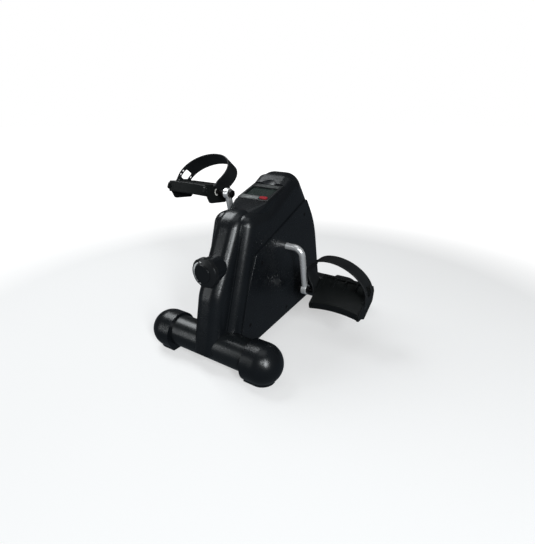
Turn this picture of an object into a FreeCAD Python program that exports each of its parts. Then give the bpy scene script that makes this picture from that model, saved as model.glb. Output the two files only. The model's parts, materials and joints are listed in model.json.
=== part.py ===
import FreeCAD, Part
import math
import os

# A pedal exerciser: two domed feet, a narrow plastic body, a braked wheel on a bent-rod
# crank, two strapped pedals, a tension knob in front and a small display on the shoulder.
# Millimetres. +Z up, +X to the right, +Y to the back; the knob and the user are at -Y.
# The origin is on the floor, midway between the two feet.

V = FreeCAD.Vector
X_AXIS, Y_AXIS, Z_AXIS = V(1, 0, 0), V(0, 1, 0), V(0, 0, 1)

# ---- driving dimensions -------------------------------------------------------------
FOOT_Y = 152.5            # front foot is at -FOOT_Y, rear foot at +FOOT_Y
TUBE_RADIUS = 27.0
TUBE_WALL = 2.0
TUBE_Z = 34.4
CAP_INNER_X = 76.0        # inner rim of an end cap
CAP_DOME_X = 97.0         # centre of its dome
CAP_RADIUS = 33.5
CAP_BASE_HALF = 21.0      # half width of the flat base
PAD_HEIGHT, PAD_RADIUS = 2.0, 18.0

BODY_HALF = 40.0          # half the width of the body
WALL = 2.5
PANEL_RAISE = 2.5         # how far a side cover stands off the body
COLUMN_HALF = 24.5
DECK_HALF = 33.0
GAP = 0.4                 # seam between neighbouring mouldings

AXLE_Y, AXLE_Z = 5.0, 167.4
CRANK_LENGTH = 86.4
CRANK_LEAN = 12.8         # the right arm points down and this far to the back
CRANK_X = 72.5
ROD_RADIUS = 6.0
BEND_RADIUS = 15.0

WHEEL_RADIUS = 75.0
WHEEL_HALF = 9.0
RUNNING = 0.05            # radial clearance of a running fit

KNOB_Z = 163.8
KNOB_RADIUS = 24.0
KNOB_FRONT_Y = -171.0
KNOB_BACK_Y = -159.0

DISPLAY_FRONT = (-40.5, 253.3)   # y, z of the display face's lower edge
DISPLAY_BACK = (12.0, 269.8)     # and of its upper edge
DISPLAY_WIDTH = 62.0
DISPLAY_DEPTH = 12.0

PEDAL_IN, PEDAL_OUT = 98.0, 191.0   # distances of a pedal's ends from the centre plane
PEDAL_FRONT, PEDAL_REAR = -30.0, 37.0
RIGHT_PITCH = 30.0        # right pedal's front edge hangs down
LEFT_PITCH = -8.0         # left pedal's front edge is a little up
SPINDLE_RADIUS = 4.5

STRAP_WIDTH = 32.0
STRAP_THICK = 3.0
STRAP_LEAN = 30.0         # a strap leans back this far from the pedal's normal
STRAP_Y = 8.0             # and stands this far behind the pedal's axis


# ---- outlines -----------------------------------------------------------------------
def rounded_wire(corners, place):
    """Closed wire through (a, b, radius) corners, each rounded; place turns (a, b) into a point."""
    points = [V(a, b, 0) for a, b, _ in corners]
    count = len(points)
    starts, ends, mids = [], [], []
    for i, corner in enumerate(points):
        radius = corners[i][2]
        back = (points[i - 1] - corner).normalize()
        ahead = (points[(i + 1) % count] - corner).normalize()
        half_angle = back.getAngle(ahead) / 2
        if radius <= 0:
            starts.append(corner)
            ends.append(corner)
            mids.append(None)
            continue
        reach = radius / math.tan(half_angle)
        middle = (back + ahead).normalize()
        starts.append(corner + back * reach)
        ends.append(corner + ahead * reach)
        mids.append(corner + middle * (radius / math.sin(half_angle) - radius))
    edges = []
    for i in range(count):
        if mids[i] is not None:
            edges.append(Part.Arc(place(starts[i]), place(mids[i]), place(ends[i])).toShape())
        begin, finish = ends[i], starts[(i + 1) % count]
        if begin.distanceToPoint(finish) > 1e-6:
            edges.append(Part.LineSegment(place(begin), place(finish)).toShape())
    return Part.Wire(edges)


def side_face(corners):
    """Face in the plane x = 0 from (y, z, radius) corners."""
    return Part.Face(rounded_wire(corners, lambda p: V(0, p.x, p.y)))


def side_block(corners, half, inset=0.0):
    """Side outline, shrunk by inset, extruded from -half to half along X."""
    face = side_face(corners)
    if inset > 0:
        face = face.makeOffset2D(-inset)
    block = face.extrude(V(2 * half, 0, 0))
    block.translate(V(-half, 0, 0))
    return block


def rim_edges(solid, half, keep):
    """Edges that lie in the planes x = +half and x = -half and whose middle passes keep."""
    chosen = []
    for edge in solid.Edges:
        box = edge.BoundBox
        flat = box.XLength < 1e-4 and abs(abs(box.XMin) - half) < 1e-4
        middle = edge.valueAt((edge.FirstParameter + edge.LastParameter) / 2)
        if flat and keep(middle):
            chosen.append(edge)
    return chosen


def rod(start, end, radius):
    """Round bar between two points."""
    along = end - start
    return Part.makeCylinder(radius, along.Length, start, along)


def x_rod(x0, x1, y, z, radius):
    return rod(V(x0, y, z), V(x1, y, z), radius)


def tube_x(x0, x1, y, z, outer, inner):
    return x_rod(x0, x1, y, z, outer).cut(x_rod(x0 - 1, x1 + 1, y, z, inner))


def box(x0, x1, y0, y1, z0, z1):
    return Part.makeBox(x1 - x0, y1 - y0, z1 - z0, V(x0, y0, z0))


def hexagon(across, height, base, direction):
    """Hexagonal prism, across flats, from base along direction."""
    corner = across / math.sqrt(3)
    points = [V(corner * math.cos(math.radians(60 * k)), corner * math.sin(math.radians(60 * k)), 0)
              for k in range(7)]
    prism = Part.Face(Part.makePolygon(points)).extrude(V(0, 0, height))
    prism.Placement = FreeCAD.Placement(base, FreeCAD.Rotation(Z_AXIS, direction))
    return prism


def fuse(shapes):
    joined = shapes[0].multiFuse(shapes[1:])
    return joined.removeSplitter()


def mirrored(shape):
    return shape.mirror(V(0, 0, 0), X_AXIS)


def one_solid(shape):
    """The largest solid of a shape, without slivers left by a cut."""
    return max(shape.Solids, key=lambda solid: solid.Volume)


# ---- body outlines ------------------------------------------------------------------
# Side outline of the body halves: front edge, crease beside the shoulder, hump, rear, base.
BODY_OUTLINE = [
    (-160.0, 34.0, 0), (-98.5, 240.0, 22), (-46.0, 242.0, 28), (32.0, 285.5, 30),
    (57.0, 292.0, 26), (124.0, 199.0, 220), (157.0, 34.0, 0), (130.0, 40.0, 0),
    (-128.0, 17.5, 4),
]
BODY_ROUND, HUMP_ROUND = 20.0, 29.0    # edge radius in front of the hump's bend and behind it

# The raised panel round the crank, inside the body outline.
PANEL_OUTLINE = [
    (-133.0, 44.0, 0), (-111.0, 122.0, 160), (-88.0, 177.5, 9), (74.0, 240.0, 7),
    (109.0, 190.0, 180), (138.0, 64.0, 0), (133.0, 40.5, 0), (-126.0, 17.8, 4),
]
PANEL_ROUND = 1.2
PANEL_WRAP = 12.0         # room for its underside to follow the body's rounded rear edge

COLUMN_FOOT, COLUMN_KINK, SHOULDER = (-185.0, 28.0), (-165.5, 124.0), (-104.0, 246.0)
COLUMN_ROUND = 18.0
COLUMN_END_ROUND = 13.0   # seen from the front, the column's lower corners
COLUMN_BACK = 40.0
COLUMN_OUTLINE = [
    (*COLUMN_FOOT, 0), (*COLUMN_KINK, 60), (*SHOULDER, 42),
    (SHOULDER[0] + COLUMN_BACK, SHOULDER[1], 0),
    (COLUMN_KINK[0] + COLUMN_BACK, COLUMN_KINK[1], 0),
    (COLUMN_FOOT[0] + COLUMN_BACK, COLUMN_FOOT[1], 0),
]
COLUMN_SLOPE = (SHOULDER[0] - COLUMN_KINK[0]) / (SHOULDER[1] - COLUMN_KINK[1])
SHOULDER_BASE_Z = 222.0
# Upright sections of the shoulder from the column's top back to the display: y, half width,
# top, radius of the upper corners.
SHOULDER_SECTIONS = [(-77.0, 24.2, 245.7, 18.0), (-60.0, 29.5, 249.5, 12.0), (-42.5, 33.0, 253.8, 5.0)]
DECK_OUTLINE = [
    (-46.0, 232.0, 0), (-46.0, 251.5, 0), (16.0, 271.2, 0), (16.0, 250.0, 0),
]
DECK_ROUND = 4.0
HUMP_END_Y = 70.0
HUMP_FRONT_Y = 11.0
HUMP_LOW_Z = 252.0


def feet_hollow(clearance):
    """Space that the two foot tubes take out of anything built round them."""
    radius = TUBE_RADIUS + clearance
    front = x_rod(-60, 60, -FOOT_Y, TUBE_Z, radius)
    return front.fuse(x_rod(-60, 60, FOOT_Y, TUBE_Z, radius))


def body_block(inset=0.0):
    """The casing's whole body; its long edges grow rounder where the hump bends."""
    block = side_block(BODY_OUTLINE, BODY_HALF - inset, inset)
    bend_y = BODY_OUTLINE[3][0]

    def at_bend(p):
        return abs(p.y - bend_y) < 3 and p.z > HUMP_LOW_Z
    bends = rim_edges(block, BODY_HALF - inset, at_bend)
    return block.makeFillet(BODY_ROUND - inset, HUMP_ROUND - inset, bends)


def column_block(inset=0.0):
    half = COLUMN_HALF - inset
    block = side_block(COLUMN_OUTLINE, half, inset)

    def on_front(p):
        return p.y < column_front(p.z) + COLUMN_BACK / 2 and p.z > COLUMN_FOOT[1] + inset + 0.1
    block = block.makeFillet(COLUMN_ROUND - inset, rim_edges(block, half, on_front))
    low, high = COLUMN_FOOT[1] + inset, SHOULDER[1] + 10
    corners = [(-half, low, COLUMN_END_ROUND), (half, low, COLUMN_END_ROUND), (half, high, 0),
               (-half, high, 0)]
    front_view = Part.Face(rounded_wire(corners, lambda p: V(p.x, -220, p.y)))
    return block.common(front_view.extrude(V(0, 200, 0)))


def column_front(z):
    """Where the column's straight upper front is at a height."""
    return COLUMN_KINK[0] + (z - COLUMN_KINK[1]) * COLUMN_SLOPE


def top_block(outline, radius, inset, keep):
    half = DECK_HALF - inset
    block = side_block(outline, half, inset)
    return block.makeFillet(radius - inset, rim_edges(block, half, keep))


def shoulder_block(inset=0.0):
    """Widens smoothly from the column's top to the display deck."""
    wires = []
    for y, half, top, radius in SHOULDER_SECTIONS:
        side, base, crown = half - inset, SHOULDER_BASE_Z + inset, top - inset
        corners = [(-side, base, 0), (side, base, 0), (side, crown, radius - inset),
                   (-side, crown, radius - inset)]
        wires.append(rounded_wire(corners, lambda p: V(p.x, y - inset, p.y)))
    return Part.makeLoft(wires, True)


def hump_block(inset):
    """The console's share of the hump: the middle of the body, flush with both halves."""
    half = DECK_HALF - inset
    middle = box(-half, half, HUMP_FRONT_Y + inset, HUMP_END_Y - inset, HUMP_LOW_Z, 320)
    return body_block(inset).common(middle)


def console_block(inset=0.0):
    """Front column, shoulder, display deck and hump as one block."""
    deck = top_block(DECK_OUTLINE, DECK_ROUND, min(inset, DECK_ROUND - 1),
                     lambda p: -45 < p.y < 15 and p.z > 250)
    return fuse([column_block(inset), shoulder_block(inset), deck, hump_block(inset)])


def joining_hollow():
    """Passages between the hollow column, shoulder, deck and hump."""
    inner, narrow = DECK_HALF - WALL, COLUMN_HALF - WALL
    shoulder_to_deck = box(-narrow, narrow, -60, -30, 228, 247)
    deck_to_hump = box(-inner, inner, 0, 30, 245, 262)
    front, back, top = 20.0, 70.0, 236.0
    spine = [COLUMN_FOOT, COLUMN_KINK, SHOULDER]
    corners = [(y + front, min(z, top), 0) for y, z in spine]
    corners += [(y + back, min(z, top), 0) for y, z in reversed(spine)]
    column_opening = side_block(corners, narrow)
    return shoulder_to_deck.fuse(deck_to_hump).fuse(column_opening)


# ---- display frame ------------------------------------------------------------------
DISPLAY_RUN, DISPLAY_RISE = DISPLAY_BACK[0] - DISPLAY_FRONT[0], DISPLAY_BACK[1] - DISPLAY_FRONT[1]
DISPLAY_SLOPE = math.degrees(math.atan2(DISPLAY_RISE, DISPLAY_RUN))
DISPLAY_LENGTH = math.hypot(DISPLAY_RUN, DISPLAY_RISE)
DISPLAY_PLACE = FreeCAD.Placement(
    V(0, DISPLAY_FRONT[0] + DISPLAY_RUN / 2, DISPLAY_FRONT[1] + DISPLAY_RISE / 2),
    FreeCAD.Rotation(X_AXIS, DISPLAY_SLOPE))
DISPLAY_PROUD = 1.5
LENS_HALF_X, LENS_FRONT, LENS_BACK = 26.0, -13.5, 15.0
BUTTON_AT = (19.0, -20.0)
BUTTON_HALF = (7.5, 3.6)
BUTTON_TRAVEL = 1.2


def on_display(shape):
    """Puts a shape drawn on a level display into its sloping place."""
    shape.Placement = DISPLAY_PLACE.multiply(shape.Placement)
    return shape


def rounded_plate(half_x, y0, y1, z0, z1, radius):
    corners = [(-half_x, y0, radius), (half_x, y0, radius), (half_x, y1, radius), (-half_x, y1, radius)]
    face = Part.Face(rounded_wire(corners, lambda p: V(p.x, p.y, z0)))
    return face.extrude(V(0, 0, z1 - z0))


def button_prism(grow, z0, z1):
    half_x, half_y = BUTTON_HALF[0] + grow, BUTTON_HALF[1] + grow
    prism = rounded_plate(half_x, -half_y, half_y, z0, z1, half_y - 0.01)
    prism.translate(V(BUTTON_AT[0], BUTTON_AT[1], 0))
    return prism


# ---- feet and frame -----------------------------------------------------------------
SOCKET_CLEARANCE = 0.03   # between a foot tube and its end caps


def foot_tube(y):
    return tube_x(-CAP_DOME_X, CAP_DOME_X, y, TUBE_Z, TUBE_RADIUS, TUBE_RADIUS - TUBE_WALL)


def end_cap(y):
    """Right-hand cap: a ball over the tube's end on a short skirt with a flat base."""
    dome_z = PAD_HEIGHT + CAP_RADIUS - 3.5
    upper = x_rod(CAP_INNER_X, CAP_DOME_X, y, dome_z, CAP_RADIUS)
    dome = Part.makeSphere(CAP_RADIUS, V(CAP_DOME_X, y, dome_z))
    skirt_half = CAP_BASE_HALF + 1.0
    skirt_top = dome_z - math.sqrt(CAP_RADIUS ** 2 - skirt_half ** 2)
    corners = [(y - skirt_half, skirt_top, 0), (y + skirt_half, skirt_top, 0),
               (y + CAP_BASE_HALF, PAD_HEIGHT, 0), (y - CAP_BASE_HALF, PAD_HEIGHT, 0)]
    skirt = side_face(corners).extrude(V(CAP_DOME_X - CAP_INNER_X, 0, 0))
    skirt.translate(V(CAP_INNER_X, 0, 0))
    skirt_end = Part.makeCone(CAP_BASE_HALF, skirt_half, skirt_top - PAD_HEIGHT,
                              V(CAP_DOME_X, y, PAD_HEIGHT))
    outside = box(CAP_DOME_X, 200, y - 60, y + 60, PAD_HEIGHT, 100)
    below_floor = box(0, 200, y - 60, y + 60, -60, PAD_HEIGHT)
    solid = fuse([upper, skirt, dome.common(outside), skirt_end.common(outside)]).cut(below_floor)
    socket = x_rod(CAP_INNER_X - 1, CAP_DOME_X + SOCKET_CLEARANCE, y, TUBE_Z,
                   TUBE_RADIUS + SOCKET_CLEARANCE)
    return one_solid(solid.cut(socket))


def foot_pads():
    pads = []
    for side in (-1, 1):
        for y in (-FOOT_Y, FOOT_Y):
            pads.append(Part.makeCylinder(PAD_RADIUS, PAD_HEIGHT, V(side * CAP_DOME_X, y, 0)))
    return Part.makeCompound(pads)


RAIL_HALF, RAIL_Z0, RAIL_Z1 = 15.0, 47.0, 65.0
RAIL_SHORT = 19.0         # the rail stops this far from each foot's axis
UPRIGHT_X0, UPRIGHT_X1 = 24.0, 27.0
BEARING_X0, BEARING_X1 = 26.0, 34.0
BEARING_OUTER, SLEEVE_RADIUS = 14.0, 9.0
HOUSING_RADIUS = 18.0
BRACKET_Y0, BRACKET_Y1 = -130.0, -126.0
SCREW_RADIUS = 4.0
GUIDE_Z = KNOB_Z - 9.0
BOLT_X, BOLT_RADIUS = 9.0, 3.0
BOLT_INBOARD = 10.0       # bolts stand this far on the body's side of the foot's axis
SADDLE_THICK = 3.0


def saddle(end):
    """Curved plate on the body's side of a foot tube; end is -1 in front, 1 at the rear."""
    ring = tube_x(-RAIL_HALF, RAIL_HALF, end * FOOT_Y, TUBE_Z, TUBE_RADIUS + SADDLE_THICK, TUBE_RADIUS)
    y0, y1 = sorted((end * (FOOT_Y - 25.0), end * (FOOT_Y - 6.0)))
    return ring.common(box(-40, 40, y0, y1, TUBE_Z, TUBE_Z + 60))


def upright(side):
    corners = [(-22.0, RAIL_Z0, 3), (-15.0, AXLE_Z, 14), (25.0, AXLE_Z, 14), (32.0, RAIL_Z0, 3)]
    plate = side_face(corners).extrude(V(UPRIGHT_X1 - UPRIGHT_X0, 0, 0))
    plate.translate(V(UPRIGHT_X0, 0, 0))
    housing = x_rod(UPRIGHT_X0, BEARING_X1, AXLE_Y, AXLE_Z, HOUSING_RADIUS)
    shape = plate.fuse(housing)
    return shape if side > 0 else mirrored(shape)


def main_frame():
    rail = box(-RAIL_HALF, RAIL_HALF, -FOOT_Y + RAIL_SHORT, FOOT_Y - RAIL_SHORT, RAIL_Z0, RAIL_Z1)
    rail = rail.cut(box(-RAIL_HALF + 2, RAIL_HALF - 2, -FOOT_Y, FOOT_Y, RAIL_Z0 + 2, RAIL_Z1 - 2))
    cross = box(-UPRIGHT_X1, UPRIGHT_X1, -22, 32, RAIL_Z1 - 4, RAIL_Z1)
    bracket = box(-10, 10, BRACKET_Y0, BRACKET_Y1, RAIL_Z1 - 2, KNOB_Z + 14)
    guide = box(-8, 8, BRACKET_Y1, -92, GUIDE_Z - 3, GUIDE_Z)
    shape = fuse([rail, cross, bracket, guide, saddle(-1), saddle(1), upright(1), upright(-1)])
    shape = shape.cut(feet_hollow(0.0))
    shape = shape.cut(x_rod(-50, 50, AXLE_Y, AXLE_Z, SLEEVE_RADIUS + 2))
    for side in (-1, 1):
        shape = shape.cut(x_rod(side * BEARING_X0, side * 50, AXLE_Y, AXLE_Z, BEARING_OUTER))
    screw_path = rod(V(0, BRACKET_Y0 - 5, KNOB_Z), V(0, BRACKET_Y1 + 5, KNOB_Z), SCREW_RADIUS + RUNNING)
    shape = shape.cut(screw_path)
    return one_solid(bolt_holes(shape))


def bolt_places():
    return [(x, end * (FOOT_Y - BOLT_INBOARD)) for end in (-1, 1) for x in (-BOLT_X, BOLT_X)]


def bolt_holes(shape):
    for x, y in bolt_places():
        shape = shape.cut(Part.makeCylinder(BOLT_RADIUS, 30, V(x, y, TUBE_Z + 15)))
    return shape


def foot_bolts():
    """Bolts whose heads sit inside each foot tube and whose nuts hold the saddle."""
    head_radius, head_top, nut_base = 5.0, TUBE_Z + 20.0, TUBE_Z + TUBE_RADIUS + SADDLE_THICK
    bolts = []
    for x, y in bolt_places():
        head = Part.makeCylinder(head_radius, 3.0, V(x, y, head_top - 3.0))
        shank = Part.makeCylinder(BOLT_RADIUS, 14.0, V(x, y, head_top - 1.0))
        nut = hexagon(9.0, 4.0, V(x, y, nut_base), Z_AXIS)
        bolts.append(head.fuse(shank).fuse(nut).removeSplitter())
    return Part.makeCompound(bolts)


# ---- casing -------------------------------------------------------------------------
CRANK_HOLE = 6.8
GROOVE_RADIUS, GROOVE_DEPTH = 4.0, 1.6    # shadow line between the column and a body half
SCREW_SPOTS = [(-108.0, 60.0), (-72.0, 160.0), (66.0, 212.0), (120.0, 78.0), (8.0, 44.0)]
SHELL_SCREW_RADIUS = 2.0
SCOOP_RADIUS = 36.0       # shallow finger scoop behind the display, part of a sphere
SCOOP_Y, SCOOP_Z = -13.0, 295.3


def shell(side):
    """One body half: side wall, front edge, rear and base, open under the console cover."""
    hollow = body_block(WALL)
    for x0, x1 in ((DECK_HALF, DECK_HALF + WALL), (-DECK_HALF - WALL, -DECK_HALF)):
        hollow = hollow.cut(box(x0, x1, -92, 66, 236, 300))
    shape = body_block().cut(hollow)
    (foot_y, foot_z, _), (top_y, top_z, _) = BODY_OUTLINE[:2]
    for x in (-COLUMN_HALF - 2.0, COLUMN_HALF + 2.0):
        out_y = GROOVE_DEPTH - GROOVE_RADIUS
        shape = shape.cut(rod(V(x, foot_y + out_y, foot_z), V(x, top_y + out_y, top_z), GROOVE_RADIUS))
    opening = box(-DECK_HALF, DECK_HALF, DECK_OUTLINE[0][0], HUMP_END_Y - 12, 225, 300)
    shape = shape.cut(console_block().fuse(opening))
    shape = shape.cut(feet_hollow(0.6))
    shape = shape.cut(x_rod(-60, 60, AXLE_Y, AXLE_Z, CRANK_HOLE))
    near, far = (GAP / 2, 60) if side > 0 else (-60, -GAP / 2)
    shape = shape.common(box(near, far, -220, 220, 0, 320))
    for y, z in SCREW_SPOTS:
        shape = shape.cut(x_rod(-60, 60, y, z, SHELL_SCREW_RADIUS + 0.02))
    return one_solid(shape)


def console_cover():
    """Front column, shoulder, deck and hump in one hollow moulding, open towards the body."""
    scoop_centre = V(0, SCOOP_Y, SCOOP_Z)
    scoop = Part.makeSphere(SCOOP_RADIUS, scoop_centre)
    scoop_floor = Part.makeSphere(SCOOP_RADIUS + WALL, scoop_centre)
    hollow = console_block(WALL).fuse(joining_hollow()).cut(scoop_floor)
    shape = console_block().cut(hollow).cut(scoop)
    shape = shape.cut(feet_hollow(0.6))
    half_x, half_y = DISPLAY_WIDTH / 2 + GAP, DISPLAY_LENGTH / 2 + GAP
    shape = shape.cut(on_display(rounded_plate(half_x, -half_y, half_y, -30, 20, 3.0)))
    shape = shape.cut(rod(V(0, -220, KNOB_Z), V(0, -100, KNOB_Z), SCREW_RADIUS + 1.5))
    return one_solid(shape)


def side_cover(side):
    """Raised panel of one body half, with the crank's hole and the screws' counterbores."""
    panel = side_face(PANEL_OUTLINE).extrude(V(PANEL_WRAP + PANEL_RAISE, 0, 0))
    panel.translate(V(BODY_HALF - PANEL_WRAP, 0, 0))
    outer = [e for e in panel.Edges if e.BoundBox.XMin > BODY_HALF + PANEL_RAISE - 0.01]
    panel = panel.makeFillet(PANEL_ROUND, outer).cut(body_block())
    panel = panel.cut(feet_hollow(2.0)).cut(x_rod(0, 60, AXLE_Y, AXLE_Z, CRANK_HOLE))
    for y, z in SCREW_SPOTS:
        panel = panel.cut(x_rod(0, 60, y, z, SHELL_SCREW_RADIUS + 0.02))
        panel = panel.cut(x_rod(BODY_HALF + 1.0, 60, y, z, 3.7))
    panel = one_solid(panel)
    return panel if side > 0 else mirrored(panel)


def shell_screws():
    screws = []
    for side in (-1, 1):
        for y, z in SCREW_SPOTS:
            shank = x_rod(BODY_HALF - 7.0, BODY_HALF + 1.0, y, z, SHELL_SCREW_RADIUS)
            head = x_rod(BODY_HALF + 1.0, BODY_HALF + 2.3, y, z, 3.5)
            screw = shank.fuse(head).removeSplitter()
            slot = box(BODY_HALF + 1.6, 60, y - 2.4, y + 2.4, z - 0.4, z + 0.4)
            screw = screw.cut(slot)
            screws.append(screw if side > 0 else mirrored(screw))
    return Part.makeCompound(screws)


# ---- display ------------------------------------------------------------------------
def display_case():
    half_x, half_y = DISPLAY_WIDTH / 2, DISPLAY_LENGTH / 2
    case = rounded_plate(half_x, -half_y, half_y, DISPLAY_PROUD - DISPLAY_DEPTH, DISPLAY_PROUD, 2.5)
    top = [e for e in case.Edges if e.BoundBox.ZMin > DISPLAY_PROUD - 0.01]
    case = case.makeFillet(0.8, top)
    inside = rounded_plate(half_x - 2, -half_y + 2, half_y - 2, -20, -1.0, 1.5)
    window = rounded_plate(LENS_HALF_X, LENS_FRONT, LENS_BACK, -5, 5, 1.5)
    return on_display(case.cut(inside).cut(window).cut(button_prism(0.1, -5, 5)))


def display_lens():
    return on_display(rounded_plate(LENS_HALF_X, LENS_FRONT, LENS_BACK, -0.4, 1.1, 1.5))


def lcd_panel():
    return on_display(box(-LENS_HALF_X + 2, LENS_HALF_X - 2, LENS_FRONT + 1, LENS_BACK - 1, -3.0, -1.2))


def display_board():
    return on_display(box(-28.0, 28.0, -24.5, 24.5, -6.0, -4.4))


def display_battery():
    return on_display(Part.makeCylinder(5.8, 3.6, V(-14, 4, -9.7)))


def display_button():
    """Oval cap with a collar under the case and a short stem towards the board's switch."""
    cap = button_prism(0.0, -1.6, DISPLAY_PROUD + 1.4)
    collar = button_prism(0.9, -2.4, -1.05)
    return on_display(cap.fuse(collar).removeSplitter())


# ---- brake and tension --------------------------------------------------------------
BAND_X = 8.0
FELT_THICK, BAND_THICK = 3.0, 1.0
FELT_OUTER = WHEEL_RADIUS + RUNNING + FELT_THICK
BAND_OUTER = FELT_OUTER + BAND_THICK
PIN_Y = -83.0
PIN_RADIUS = 2.5


def ring_sector(inner, outer, half_width, open_angle):
    """Ring round the axle with a gap of twice open_angle towards the band pin."""
    ring = tube_x(-half_width, half_width, AXLE_Y, AXLE_Z, outer, inner)
    reach = 2 * outer
    towards = math.atan2(KNOB_Z - AXLE_Z, PIN_Y - AXLE_Y)
    spread = math.radians(open_angle)
    tips = [V(0, AXLE_Y + reach * math.cos(a), AXLE_Z + reach * math.sin(a))
            for a in (towards - spread, towards + spread)]
    centre = V(0, AXLE_Y, AXLE_Z)
    wedge = Part.Face(Part.makePolygon([centre, tips[0], tips[1], centre])).extrude(V(4 * half_width, 0, 0))
    wedge.translate(V(-2 * half_width, 0, 0))
    return ring.cut(wedge)


def felt_lining():
    return one_solid(ring_sector(WHEEL_RADIUS + RUNNING, FELT_OUTER, BAND_X, 36.0))


def brake_band():
    """Steel band round the felt; its two straight ends meet at an eye on the band pin."""
    middle = (FELT_OUTER + BAND_OUTER) / 2
    reach = math.hypot(PIN_Y - AXLE_Y, KNOB_Z - AXLE_Z)
    open_angle = math.degrees(math.acos(middle / reach))
    towards = math.atan2(KNOB_Z - AXLE_Z, PIN_Y - AXLE_Y)
    pieces = [ring_sector(FELT_OUTER, BAND_OUTER, BAND_X, open_angle)]
    for sign in (-1, 1):
        angle = towards + sign * math.radians(open_angle)
        touch = V(0, AXLE_Y + middle * math.cos(angle), AXLE_Z + middle * math.sin(angle))
        pin = V(0, PIN_Y, KNOB_Z)
        along = (pin - touch).normalize()
        across = along.cross(X_AXIS) * (BAND_THICK / 2)
        start = touch - along * 0.5
        points = [start + across, pin + across, pin - across, start - across, start + across]
        strip = Part.Face(Part.makePolygon(points)).extrude(V(2 * BAND_X, 0, 0))
        strip.translate(V(-BAND_X, 0, 0))
        pieces.append(strip)
    pieces.append(x_rod(-BAND_X, BAND_X, PIN_Y, KNOB_Z, PIN_RADIUS + 1.5))
    band = fuse(pieces).cut(x_rod(-20, 20, PIN_Y, KNOB_Z, PIN_RADIUS))
    notch = box(-2.5, 2.5, PIN_Y - 10, PIN_Y + 4.5, KNOB_Z - 5, KNOB_Z + 5)
    return one_solid(band.cut(notch).cut(x_rod(-10, 10, AXLE_Y, AXLE_Z, FELT_OUTER)))


def band_pin():
    shank = x_rod(-BAND_X - 2, BAND_X + 2, PIN_Y, KNOB_Z, PIN_RADIUS)
    heads = [x_rod(side * (BAND_X + 0.5), side * (BAND_X + 2), PIN_Y, KNOB_Z, PIN_RADIUS + 1)
             for side in (-1, 1)]
    return fuse([shank] + heads)


SLIDER_Y0, SLIDER_Y1 = -117.0, -103.0
SPRING_RADIUS, WIRE_RADIUS, SPRING_TURNS = 3.4, 0.7, 5


def tension_spring():
    """Extension spring between the slider's hook and the band pin."""
    start, end = SLIDER_Y1 + 4.5, PIN_Y - 5.2
    length = end - start
    helix = Part.makeHelix(length / SPRING_TURNS, length, SPRING_RADIUS)
    profile = Part.Wire(Part.makeCircle(WIRE_RADIUS, V(SPRING_RADIUS, 0, 0), Y_AXIS))
    coil = Part.Wire(helix).makePipeShell([profile], True, True)
    coil.Placement = FreeCAD.Placement(V(0, start, KNOB_Z), FreeCAD.Rotation(Z_AXIS, Y_AXIS))
    return coil


def tension_slider():
    """Nut block that the screw draws forward; it slides on the guide and hooks the spring."""
    block = box(-7, 7, SLIDER_Y0, SLIDER_Y1, GUIDE_Z + RUNNING, KNOB_Z + 8)
    hook = box(-1.2, 1.2, SLIDER_Y1, SLIDER_Y1 + 3.5, KNOB_Z - 7, KNOB_Z + 5)
    block = block.fuse(hook).removeSplitter()
    bore = rod(V(0, SLIDER_Y0 - 5, KNOB_Z), V(0, SLIDER_Y1 - 1, KNOB_Z), SCREW_RADIUS + RUNNING)
    return block.cut(bore)


SCREW_IN_KNOB = 7.0


def tension_screw():
    shank = rod(V(0, KNOB_BACK_Y - SCREW_IN_KNOB, KNOB_Z), V(0, SLIDER_Y1 - 6, KNOB_Z), SCREW_RADIUS)
    collar = rod(V(0, BRACKET_Y0 - 3.1, KNOB_Z), V(0, BRACKET_Y0 - 0.1, KNOB_Z), 6.5)
    return shank.fuse(collar).removeSplitter()


KNOB_LOBES = 9
LOBE_CUT_RADIUS, LOBE_DEPTH = 9.0, 1.2


def tension_knob():
    """Lobed knob with a domed face and a bore for the screw."""
    depth = KNOB_BACK_Y - KNOB_FRONT_Y
    knob = rod(V(0, KNOB_FRONT_Y, KNOB_Z), V(0, KNOB_BACK_Y, KNOB_Z), KNOB_RADIUS)
    dome_radius = 62.0
    knob = knob.common(Part.makeSphere(dome_radius, V(0, KNOB_FRONT_Y + dome_radius, KNOB_Z)))
    rim = [e for e in knob.Edges if e.BoundBox.YMax < KNOB_BACK_Y - 1 and e.BoundBox.XLength > KNOB_RADIUS]
    knob = knob.makeFillet(1.4, rim)
    reach = KNOB_RADIUS + LOBE_CUT_RADIUS - LOBE_DEPTH
    for k in range(KNOB_LOBES):
        angle = 2 * math.pi * k / KNOB_LOBES
        centre = V(reach * math.cos(angle), KNOB_FRONT_Y - 1, KNOB_Z + reach * math.sin(angle))
        knob = knob.cut(Part.makeCylinder(LOBE_CUT_RADIUS, depth + 2, centre, Y_AXIS))
    seat = rod(V(0, KNOB_FRONT_Y - 1, KNOB_Z), V(0, KNOB_FRONT_Y + 1.6, KNOB_Z), 15.0)
    bore = rod(V(0, KNOB_BACK_Y - SCREW_IN_KNOB, KNOB_Z), V(0, KNOB_BACK_Y + 1, KNOB_Z), SCREW_RADIUS)
    return one_solid(knob.cut(bore).cut(seat))


def knob_cap():
    """Smooth disc let into the knob's face."""
    disc = rod(V(0, KNOB_FRONT_Y - 0.2, KNOB_Z), V(0, KNOB_FRONT_Y + 1.6, KNOB_Z), 14.9)
    edges = [e for e in disc.Edges if e.BoundBox.YMax < KNOB_FRONT_Y]
    return disc.makeFillet(0.8, edges)


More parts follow.
